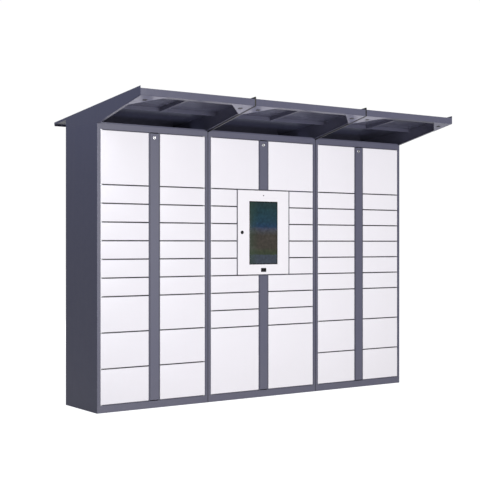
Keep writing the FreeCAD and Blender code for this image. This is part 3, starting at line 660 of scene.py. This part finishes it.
@dataclass
class Doors:
    """All compartment doors, read from the frame's door bodies."""

    strip_half: float = 1.7 * MM
    strip_front: float = 3.5 * MM
    strip_back: float = 16 * MM
    widest_gap: float = 10 * MM

    def shade_strips(self, boxes: list[tuple[Vector, Vector]]) -> None:
        """Black strips on the shelves' front edges: painted shade that stands in for the shade in the gaps between
        doors.

        Args:
            boxes: lowest and highest corner of every door.
        """
        form = Form()
        for low, high in boxes:
            for above, _ in boxes:
                gap = above.z - high.z
                if abs(above.x - low.x) < 1 * MM and 0 < gap < self.widest_gap:
                    level = high.z + gap / 2
                    form.block((low.x + 1 * MM, low.y + self.strip_front, level - self.strip_half),
                               (high.x - 1 * MM, low.y + self.strip_back, level + self.strip_half), 0.5 * MM)
        form.piece("shelf_gap_shade_strips", RUBBER, "cabinet", Slot.BLACK)

    def build(self) -> int:
        """Build every door, the lock escutcheons beside them and the black strips of painted shade between them.

        Returns:
            How many doors were built.
        """
        escutcheons = Form()
        boxes = []
        for body, nodes in frame["record"]["behaviour"]["bodies"].items():
            if "_door" not in body:
                continue
            hinge_on_left = joint_of(body)["axis"][2] < 0
            for index, (low, high) in enumerate(island_boxes(nodes[0])):
                door = CompartmentDoor(f"{body}_pan_{index + 1}", body, low, high, hinge_on_left)
                door.build(nodes[0])
                door.lock_mouth(escutcheons)
                boxes.append((low, high))
        escutcheons.piece("lock_escutcheons", BLACK_ABS, "cabinet", Slot.CASE)
        self.shade_strips(boxes)
        return len(boxes)


@dataclass
class ServiceCovers:
    """Upright covers over the cable ducts, each hooked in at its foot."""

    def build(self) -> None:
        """Dress the covers."""
        for body in ("left_cover", "right_cover", "master_upper_cover", "master_lower_cover"):
            dress_node(body, FRAME_PAINT)


@dataclass
class CamLock:
    """Round cam lock: bezel, key plug with its keyway, barrel and cam."""

    body: str
    finish: Finish
    slot: Slot
    bezel: float = 13.5 * MM
    barrel: float = 9.4 * MM
    proud: float = 2.5 * MM
    cam: float = 3 * MM
    cam_half: float = 7 * MM

    def build(self) -> None:
        """Build the lock where its CAD node lies."""
        low, high = (Vector(corner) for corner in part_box(self.body))
        pivot = Vector(joint_of(self.body)["pos_m"])
        back = high.y - low.y - self.cam
        form = Form()
        r = self.bezel
        form.turned((pivot.x, low.y, pivot.z), [
            (0.0, 0.7 * MM), (0.52 * r, 0.7 * MM), (0.56 * r, 0.5 * MM), (0.6 * r, 0.9 * MM),
            (0.64 * r, 0.1 * MM), (0.72 * r, 0.0), (0.86 * r, 0.2 * MM), (0.95 * r, 0.8 * MM),
            (r, 1.8 * MM), (r, self.proud), (self.barrel, self.proud), (self.barrel, back), (0.0, back)])
        form.block((pivot.x - self.cam_half, high.y - self.cam, low.z),
                   (pivot.x + self.cam_half, high.y, pivot.z + 8 * MM), 0.8 * MM)
        form.piece(f"{self.body}_cylinder", self.finish, self.body, self.slot, self.body)
        # Painted shade: the keyway is a near-black block that stands in for the shade inside the key slot.
        keyway = Form()
        keyway.block((pivot.x - 0.9 * MM, low.y + 0.45 * MM, pivot.z - 4.2 * MM),
                     (pivot.x + 0.9 * MM, low.y + self.proud, pivot.z + 4.2 * MM), 0.3 * MM)
        keyway.piece(f"{self.body}_keyway", KEY_HOLE, self.body, self.slot)


@dataclass
class Console:
    """Console door with its display, camera, scanner and lock."""

    bezel_wide: float = 2.6 * MM
    bezel_proud: float = 0.5 * MM
    gap: float = 4 * MM
    strip_reach: float = 0.85 * MM
    strip_front: float = 3.5 * MM
    strip_back: float = 12 * MM
    hinge_room: float = 0.35 * MM

    def build(self) -> None:
        """Build and dress everything that rides on the console door."""
        dress_node("console_door", CONSOLE_PAINT)
        dress_node("touch_display", BLACK_ABS)
        self.shade_strips()
        self.glass()
        self.camera()
        self.scanner()

    def shade_strips(self) -> None:
        """Black strips on the frame round the console door: painted shade that stands in for the shade in the gap
        round it.
        """
        low, high = (Vector(corner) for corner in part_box("console_door"))
        front, back = low.y + self.strip_front, low.y + self.strip_back
        left, right = low.x - self.gap / 2, high.x + self.gap / 2 + self.hinge_room
        foot, head = low.z - self.gap / 2, high.z + self.gap / 2
        form = Form()
        for x in (left, right):
            form.block((x - self.strip_reach, front, foot), (x + self.strip_reach, back, head), 0.5 * MM)
        for z in (foot, head):
            form.block((left, front, z - self.strip_reach), (right, back, z + self.strip_reach), 0.5 * MM)
        form.piece("console_gap_shade_strips", RUBBER, "cabinet", Slot.BLACK)

    def glass(self) -> None:
        """Cover glass with ground edges."""
        low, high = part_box("display_glass")
        form = Form()
        form.block(tuple(low), tuple(high), 0.5 * MM)
        form.piece("display_cover_glass", SCREEN, "console", Slot.GLASS, "display_glass")

    def camera(self) -> None:
        """Small round camera: a stepped ring round a domed lens."""
        low, high = (Vector(corner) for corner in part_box("camera"))
        x = (low.x + high.x) / 2
        z = (low.z + high.z) / 2
        form = Form()
        form.turned((x, low.y, z), [
            (0.0, 0.1 * MM), (1.2 * MM, 0.25 * MM), (2.2 * MM, 0.7 * MM), (2.6 * MM, 1.0 * MM),
            (3.0 * MM, 0.4 * MM), (4.1 * MM, 0.3 * MM), (4.5 * MM, 0.6 * MM), (4.5 * MM, 4 * MM),
            (0.0, 4 * MM)], steps=32)
        form.block((low.x, low.y + 2 * MM, low.z), tuple(high), 1.2 * MM)
        form.piece("camera_module", DARK_ACRYLIC, "console", Slot.BLACK, "camera")

    def scanner(self) -> None:
        """Code scanner: a moulded frame round two dark windows, and the reader behind it."""
        low, high = (Vector(corner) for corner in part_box("scanner"))
        wide, edge, sill = 44.5 * MM, 0.25 * MM, 2.4 * MM
        x = (low.x + high.x) / 2
        form = Form()
        bottom, top = low.z + edge, high.z - edge
        for z in (bottom, top - sill):
            form.block((x - wide / 2, low.y, z), (x + wide / 2, low.y + 1.5 * MM, z + sill), 0.5 * MM)
        for place in (x - wide / 2, x - sill / 2, x + wide / 2 - sill):
            form.block((place, low.y, bottom), (place + sill, low.y + 1.5 * MM, top), 0.5 * MM)
        form.block((low.x, low.y + 1.6 * MM, low.z), tuple(high), 1.5 * MM)
        outer = rounded_ring(wide + 2 * self.bezel_wide, top - bottom + 2 * self.bezel_wide, 0.0,
                             2 * self.bezel_wide, 0.0)
        inner = rounded_ring(wide - 2 * sill, top - bottom - 2 * sill, 0.0, 1 * MM, 0.0)
        edge_at = Vector((x - wide / 2 - self.bezel_wide, 0, bottom - self.bezel_wide))
        hole_at = Vector((x - wide / 2 + sill, 0, bottom + sill))
        face = low.y - self.bezel_proud
        form.loft([[tuple(edge_at + Vector((u, low.y + 0.3 * MM, v))) for u, _, v in outer],
                   [tuple(edge_at + Vector((u, face + 0.2 * MM, v))) for u, _, v in outer],
                   [tuple(edge_at + Vector((u, face, v))) for u, _, v in inset_ring(outer, 0.4 * MM)],
                   [tuple(hole_at + Vector((u, face, v))) for u, _, v in inner],
                   [tuple(hole_at + Vector((u, low.y + 1.2 * MM, v))) for u, _, v in inner]], capped=False)
        form.piece("scanner_frame", BLACK_ABS, "console", Slot.BLACK, "scanner")
        windows = Form()
        for start in (x - wide / 2 + sill, x + sill / 2):
            windows.block((start, low.y + 0.8 * MM, bottom + sill),
                          (start + wide / 2 - 1.5 * sill, low.y + 1.4 * MM, top - sill), 0.2 * MM)
        windows.piece("scanner_windows", DARK_ACRYLIC, "console", Slot.BLACK)


@dataclass
class Canopies:
    """Sloping rain canopies on top of the cabinets, with the seals that join them."""

    seal_wide: float = 11 * MM
    seal_proud: float = 1.5 * MM
    bead_deep: float = 6 * MM
    skirt: float = 8 * MM
    pair_wide: float = 30 * MM
    seam_wide: float = 5 * MM
    seam_proud: float = 0.4 * MM
    fill_wide: float = 33 * MM
    fill_long: float = 25 * MM
    fill_place: float = 75 / 200     # place of the slot along each leg of a gusset
    leg: float = 200 * MM

    def joints(self) -> list[float]:
        """Places along X where the side plates of two canopies meet, and so form one island."""
        return [(low.x + high.x) / 2 for low, high in island_boxes("canopy_side_plates")
                if high.x - low.x > self.pair_wide]

    def seals_and_seam_shade(self) -> None:
        """Black rubber profile over each joint: cap on top, strip down the fascia, bead below; and a black strip
        down the cabinets' front joint, which is painted shade of the groove between modules.
        """
        front, rear = (corner[1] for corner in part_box("canopy_roofs"))
        heights = plate_heights("canopy_side_plates", front)
        tail = plate_heights("canopy_side_plates", rear)
        cabin_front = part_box("side_walls")[0][1]
        cabin_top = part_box("side_walls")[1][2]
        top, foot, proud = heights[1], heights[0], self.seal_proud
        outer = [(rear, tail[1] + proud), (front - proud, top + proud), (front - proud, foot),
                 (front + proud, foot - self.bead_deep), (cabin_front - proud, cabin_top - self.bead_deep)]
        inner = [(rear, tail[1] - self.skirt), (front + proud, top - self.skirt),
                 (front + proud, foot + proud), (front + 3 * proud, foot + proud),
                 (cabin_front - proud, cabin_top + proud)]
        form = Form()
        for x in self.joints():
            rings = []
            for out, back in zip(outer, inner):
                soft = [o + 0.12 * (b - o) for o, b in zip(out, back)]
                half = self.seal_wide / 2
                section = [(-half, back), (half, back), (half, soft), (0.6 * half, out), (-0.6 * half, out),
                           (-half, soft)]
                rings.append([(x + side, y, z) for side, (y, z) in section])
            form.loft(rings)
            # Painted shade: this black strip down the cabinets' front joint stands in for the shade in the groove
            # between modules.
            form.block((x - self.seam_wide / 2, cabin_front - self.seam_proud, 0.0),
                       (x + self.seam_wide / 2, cabin_front + self.seam_wide / 2, cabin_top - self.bead_deep),
                       0.3 * MM)
        form.piece("module_joint_seals_and_seam_shade", RUBBER, "cabinet", Slot.BLACK)

    def slot_shade_fills(self) -> None:
        """Oval black fills in the gussets' slots: painted shade that stands in for the shade seen through the
        slots.
        """
        form = Form()
        for low, high in island_boxes("canopy_gussets"):
            slope = math.atan2(high.z - low.z, high.y - low.y)
            along = Vector((0, math.cos(slope), -math.sin(slope)))
            down = Vector((0, -math.sin(slope), -math.cos(slope)))
            outward = 1 if self.outer_is_right(low, high) else -1
            x = (high.x if outward > 0 else low.x) - outward * self.fill_place * self.leg
            centre = Vector((x, low.y, high.z)) + along * (self.fill_place * self.leg)
            rings = []
            for inset, depth in ((0.0, -1.0), (0.0, 2.2), (0.8, 2.9), (3.0, 3.1), (7.0, 2.4)):
                ring = rounded_ring(self.fill_wide, self.fill_long, inset * MM, self.fill_long / 2,
                                    depth * MM, 8)
                rings.append([tuple(centre + Vector((u - self.fill_wide / 2, 0, 0))
                                    + along * (v - self.fill_long / 2) + down * d) for u, d, v in ring])
            form.loft(rings)
        form.piece("canopy_slot_shade_fills", RUBBER, "cabinet", Slot.BLACK)

    def outer_is_right(self, low: Vector, high: Vector) -> bool:
        """Whether a gusset's square corner is at its right-hand end.

        Args:
            low: lowest corner of the gusset's box.
            high: its highest corner.
        """
        ends = [x for plate in island_boxes("canopy_side_plates") for x in (plate[0].x, plate[1].x)]
        return min(abs(high.x - x) for x in ends) < min(abs(low.x - x) for x in ends)

    def build(self) -> None:
        """Dress the canopies, add the seals with the painted-shade strip below them, and the dark slot fills of
        painted shade.
        """
        for node in ("canopy_roofs", "canopy_side_plates", "canopy_braces"):
            dress_node(node, CANOPY_PAINT)
        # Painted light: the gussets' lighter copy of the frame paint stands in for light falling on them.
        dress_node("canopy_gussets", GUSSET_PAINTED_LIGHT)
        self.seals_and_seam_shade()
        self.slot_shade_fills()


# ------------------------------------------------------------------ studio

@dataclass
class Studio:
    """Pale floor, soft lights and the camera."""

    standpoint: Point = (-4.778, -6.739, 1.170)
    heading: float = math.radians(-35.06)
    lens: float = 78.96
    rise: float = 0.0079
    backdrop: float = 1.02
    floor_fill: float = 0.24
    fill: float = 0.22

    def ray_strength(self, tree: bpy.types.NodeTree, kind: str, others: float, chosen: float,
                     target: bpy.types.NodeSocket) -> None:
        """Give one kind of ray its own strength of light.

        Args:
            tree: the node tree.
            kind: the Light Path output that picks the rays.
            others: strength for every other ray.
            chosen: strength for the picked rays.
            target: the strength socket.
        """
        path = add_node(tree, "ShaderNodeLightPath")
        strength = add_node(tree, "ShaderNodeMapRange", {"Value": path.outputs[kind]}, in_To_Min=others,
                            in_To_Max=chosen)
        tree.links.new(strength.outputs[0], target)

    def floor(self) -> None:
        """Wide pale floor."""
        shape = bmesh.new()
        bmesh.ops.create_circle(shape, cap_ends=True, radius=40, segments=96)
        data = bpy.data.meshes.new("floor")
        shape.to_mesh(data)
        shape.free()
        pale = bpy.data.materials.new("pale_floor")
        pale.use_nodes = True
        shader = pale.node_tree.nodes["Principled BSDF"]
        shader.inputs["Base Color"].default_value = linear("#8c8c8e")
        shader.inputs["Roughness"].default_value = 1.0
        shader.inputs["Specular IOR Level"].default_value = 0.0
        shader.inputs["Emission Color"].default_value = linear("#ffffff")
        self.ray_strength(pale.node_tree, "Is Camera Ray", self.floor_fill, self.backdrop,
                          shader.inputs["Emission Strength"])
        data.materials.append(pale)
        item = bpy.data.objects.new("floor", data)
        bpy.context.scene.collection.objects.link(item)

    def light(self, name: str, place: Point, aim: Point, wide: float, tall: float, power: float,
              colour: str = "#ffffff") -> None:
        """Soft rectangular light.

        Args:
            name: its name.
            place: where it hangs.
            aim: what it points at.
            wide: its width.
            tall: its height.
            power: watts.
            colour: sRGB hex colour.
        """
        data = bpy.data.lights.new(name, "AREA")
        data.shape = "RECTANGLE"
        data.size = wide
        data.size_y = tall
        data.energy = power
        data.color = linear(colour)[:3]
        item = bpy.data.objects.new(name, data)
        item.location = place
        item.rotation_euler = (Vector(aim) - Vector(place)).to_track_quat("-Z", "Y").to_euler()
        item.visible_camera = False
        bpy.context.scene.collection.objects.link(item)

    def world(self) -> None:
        """Pale surroundings that fill the shadows softly."""
        world = bpy.data.worlds.new("studio")
        world.use_nodes = True
        tree = world.node_tree
        surround = tree.nodes["Background"]
        surround.inputs["Color"].default_value = (1.0, 1.0, 1.0, 1.0)
        self.ray_strength(tree, "Is Camera Ray", self.fill, self.backdrop, surround.inputs["Strength"])
        bpy.context.scene.world = world

    def camera(self) -> None:
        """Camera at head height, to the left of the locker."""
        data = bpy.data.cameras.new("camera")
        data.lens = self.lens
        data.sensor_width = 36.0
        data.shift_y = self.rise
        data.clip_end = 200
        item = bpy.data.objects.new("camera", data)
        item.location = self.standpoint
        item.rotation_euler = (math.radians(90), 0, self.heading)
        bpy.context.scene.collection.objects.link(item)
        bpy.context.scene.camera = item

    def build(self) -> None:
        """Set up the studio."""
        bpy.context.scene.view_settings.view_transform = "Standard"
        self.floor()
        self.world()
        self.light("key", (0.0, -8.5, 1.8), (0, 0, 1.2), 4.0, 4.0, 578)
        self.light("sky", (-3.2, -0.4, 4.2), (-1.25, 0, 2.0), 1.6, 1.6, 52, "#cfdcff")
        self.light("rear", (2.5, 7.5, 3.4), (0, 0, 1.2), 3.0, 3.0, 210)
        self.light("under_canopy", (0.0, -0.12, 2.012), (0, -0.2, 2.3), 2.4, 0.22, 0.5, "#dfe4ff")
        self.camera()


def main() -> None:
    """Build the studio and the locker, and log each stage."""
    logging.basicConfig(level=logging.INFO, format="%(name)s: %(message)s")
    Studio().build()
    Carcass().build()
    log.info("carcass dressed and riveted")
    log.info("%d doors built", Doors().build())
    ServiceCovers().build()
    log.info("service covers dressed")
    for body in ("left_cover_lock", "master_cover_lock", "right_cover_lock"):
        CamLock(body, NICKEL, Slot.LOCK).build()
    CamLock("console_lock", BLACK_NICKEL, Slot.DARK_METAL).build()
    log.info("cam locks built")
    Console().build()
    log.info("console built")
    Canopies().build()
    log.info("canopies dressed")


if __name__ == "__main__":
    main()
